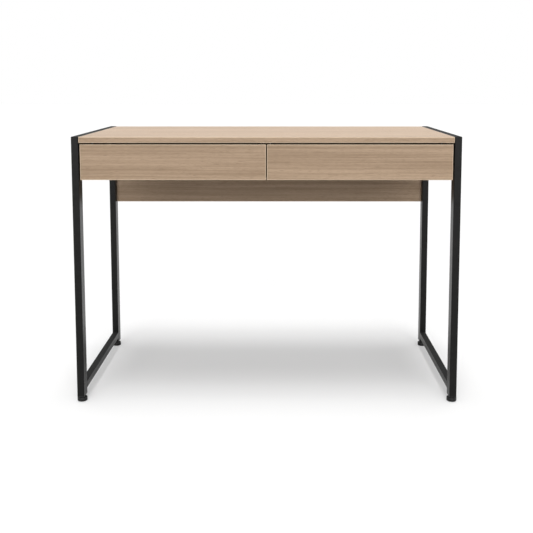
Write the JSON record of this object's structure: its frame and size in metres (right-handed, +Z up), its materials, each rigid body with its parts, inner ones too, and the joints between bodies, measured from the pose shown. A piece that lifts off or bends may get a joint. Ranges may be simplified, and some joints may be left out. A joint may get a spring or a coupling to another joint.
{
  "type": "writing desk with drawers",
  "caption": "Writing desk with handleless wood-veneered drawers on ball-bearing slides, between closed rectangular steel side frames with levelling feet.",
  "frame": {"origin": "on the floor, under the middle of the desk", "axes": "+X along the width to the right of the person facing the drawers, +Y from the front to the back, +Z up"},
  "size_m": [1.075, 0.56, 0.75],
  "materials": {
    "oak_veneer": "matt lacquered greyish-brown oak veneer, grain along the width",
    "drawer_box_wood": "lacquered light board",
    "drawer_bottom_board": "thin fibreboard, printed face",
    "black_powder_coat": "fine-textured matt black powder coat",
    "black_plastic": "moulded black plastic",
    "zinc_plated_steel": "bright zinc plate",
    "slide_steel": "zinc-plated rolled sheet",
    "cage_steel": "zinc-plated thin sheet with polished balls"
  },
  "bodies": {
    "desk": {"left_front_leg": "black_powder_coat", "left_rear_leg": "black_powder_coat", "left_top_rail": "black_powder_coat", "left_foot_rail": "black_powder_coat", "right_front_leg": "black_powder_coat", "right_rear_leg": "black_powder_coat", "right_top_rail": "black_powder_coat", "right_foot_rail": "black_powder_coat", "leg_plugs": "black_plastic", "lock_nuts": "zinc_plated_steel", "desk_top": "oak_veneer", "back_panel": "oak_veneer", "left_case_side": "oak_veneer", "right_case_side": "oak_veneer", "centre_divider": "oak_veneer", "case_brackets": "zinc_plated_steel", "bracket_screws": "zinc_plated_steel", "case_screws": "zinc_plated_steel", "frame_bolts": "zinc_plated_steel", "rivet_nuts": "zinc_plated_steel", "cam_locks": "zinc_plated_steel", "cam_dowels": "zinc_plated_steel", "left_drawer_left_cabinet_rail": "slide_steel", "left_drawer_right_cabinet_rail": "slide_steel", "right_drawer_left_cabinet_rail": "slide_steel", "right_drawer_right_cabinet_rail": "slide_steel"},
    "left_drawer": {"left_drawer_front": "oak_veneer", "left_drawer_box_front": "drawer_box_wood", "left_drawer_box_back": "drawer_box_wood", "left_drawer_left_side": "drawer_box_wood", "left_drawer_right_side": "drawer_box_wood", "left_drawer_bottom": "drawer_bottom_board", "left_drawer_screws": "zinc_plated_steel", "left_drawer_left_drawer_rail": "slide_steel", "left_drawer_right_drawer_rail": "slide_steel"},
    "left_drawer_left_middle_rail": {"left_drawer_left_middle_rail": "slide_steel"},
    "left_drawer_right_middle_rail": {"left_drawer_right_middle_rail": "slide_steel"},
    "left_drawer_outer_ball_cages": {"left_drawer_outer_ball_cages": "cage_steel"},
    "left_drawer_inner_ball_cages": {"left_drawer_inner_ball_cages": "cage_steel"},
    "right_drawer": {"right_drawer_front": "oak_veneer", "right_drawer_box_front": "drawer_box_wood", "right_drawer_box_back": "drawer_box_wood", "right_drawer_left_side": "drawer_box_wood", "right_drawer_right_side": "drawer_box_wood", "right_drawer_bottom": "drawer_bottom_board", "right_drawer_screws": "zinc_plated_steel", "right_drawer_left_drawer_rail": "slide_steel", "right_drawer_right_drawer_rail": "slide_steel"},
    "right_drawer_left_middle_rail": {"right_drawer_left_middle_rail": "slide_steel"},
    "right_drawer_right_middle_rail": {"right_drawer_right_middle_rail": "slide_steel"},
    "right_drawer_outer_ball_cages": {"right_drawer_outer_ball_cages": "cage_steel"},
    "right_drawer_inner_ball_cages": {"right_drawer_inner_ball_cages": "cage_steel"},
    "front_left_levelling_foot": {"front_left_foot": "black_plastic", "front_left_stud": "zinc_plated_steel"},
    "front_right_levelling_foot": {"front_right_foot": "black_plastic", "front_right_stud": "zinc_plated_steel"},
    "rear_left_levelling_foot": {"rear_left_foot": "black_plastic", "rear_left_stud": "zinc_plated_steel"},
    "rear_right_levelling_foot": {"rear_right_foot": "black_plastic", "rear_right_stud": "zinc_plated_steel"}
  },
  "joints": [
    {"name": "left_drawer_slide", "type": "slide", "parent": "desk", "child": "left_drawer", "axis": [0, -1, 0], "range_m": [0, 0.43]},
    {"name": "left_drawer_left_middle_rail_slide", "type": "slide", "parent": "desk", "child": "left_drawer_left_middle_rail", "axis": [0, -1, 0], "range_m": [0, 0.215]},
    {"name": "left_drawer_right_middle_rail_slide", "type": "slide", "parent": "desk", "child": "left_drawer_right_middle_rail", "axis": [0, -1, 0], "range_m": [0, 0.215]},
    {"name": "left_drawer_outer_ball_cages_slide", "type": "slide", "parent": "desk", "child": "left_drawer_outer_ball_cages", "axis": [0, -1, 0], "range_m": [0, 0.1075]},
    {"name": "left_drawer_inner_ball_cages_slide", "type": "slide", "parent": "desk", "child": "left_drawer_inner_ball_cages", "axis": [0, -1, 0], "range_m": [0, 0.3225]},
    {"name": "right_drawer_slide", "type": "slide", "parent": "desk", "child": "right_drawer", "axis": [0, -1, 0], "range_m": [0, 0.43]},
    {"name": "right_drawer_left_middle_rail_slide", "type": "slide", "parent": "desk", "child": "right_drawer_left_middle_rail", "axis": [0, -1, 0], "range_m": [0, 0.215]},
    {"name": "right_drawer_right_middle_rail_slide", "type": "slide", "parent": "desk", "child": "right_drawer_right_middle_rail", "axis": [0, -1, 0], "range_m": [0, 0.215]},
    {"name": "right_drawer_outer_ball_cages_slide", "type": "slide", "parent": "desk", "child": "right_drawer_outer_ball_cages", "axis": [0, -1, 0], "range_m": [0, 0.1075]},
    {"name": "right_drawer_inner_ball_cages_slide", "type": "slide", "parent": "desk", "child": "right_drawer_inner_ball_cages", "axis": [0, -1, 0], "range_m": [0, 0.3225]},
    {"name": "front_left_foot_screw", "type": "slide", "parent": "desk", "child": "front_left_levelling_foot", "axis": [0, 0, -1], "range_m": [0, 0.012]},
    {"name": "front_right_foot_screw", "type": "slide", "parent": "desk", "child": "front_right_levelling_foot", "axis": [0, 0, -1], "range_m": [0, 0.012]},
    {"name": "rear_left_foot_screw", "type": "slide", "parent": "desk", "child": "rear_left_levelling_foot", "axis": [0, 0, -1], "range_m": [0, 0.012]},
    {"name": "rear_right_foot_screw", "type": "slide", "parent": "desk", "child": "rear_right_levelling_foot", "axis": [0, 0, -1], "range_m": [0, 0.012]}
  ],
  "couplings": [
    {"joint": "left_drawer_left_middle_rail_slide", "follows": "left_drawer_slide", "ratio": 0.5},
    {"joint": "left_drawer_right_middle_rail_slide", "follows": "left_drawer_slide", "ratio": 0.5},
    {"joint": "left_drawer_outer_ball_cages_slide", "follows": "left_drawer_slide", "ratio": 0.25},
    {"joint": "left_drawer_inner_ball_cages_slide", "follows": "left_drawer_slide", "ratio": 0.75},
    {"joint": "right_drawer_left_middle_rail_slide", "follows": "right_drawer_slide", "ratio": 0.5},
    {"joint": "right_drawer_right_middle_rail_slide", "follows": "right_drawer_slide", "ratio": 0.5},
    {"joint": "right_drawer_outer_ball_cages_slide", "follows": "right_drawer_slide", "ratio": 0.25},
    {"joint": "right_drawer_inner_ball_cages_slide", "follows": "right_drawer_slide", "ratio": 0.75}
  ]
}
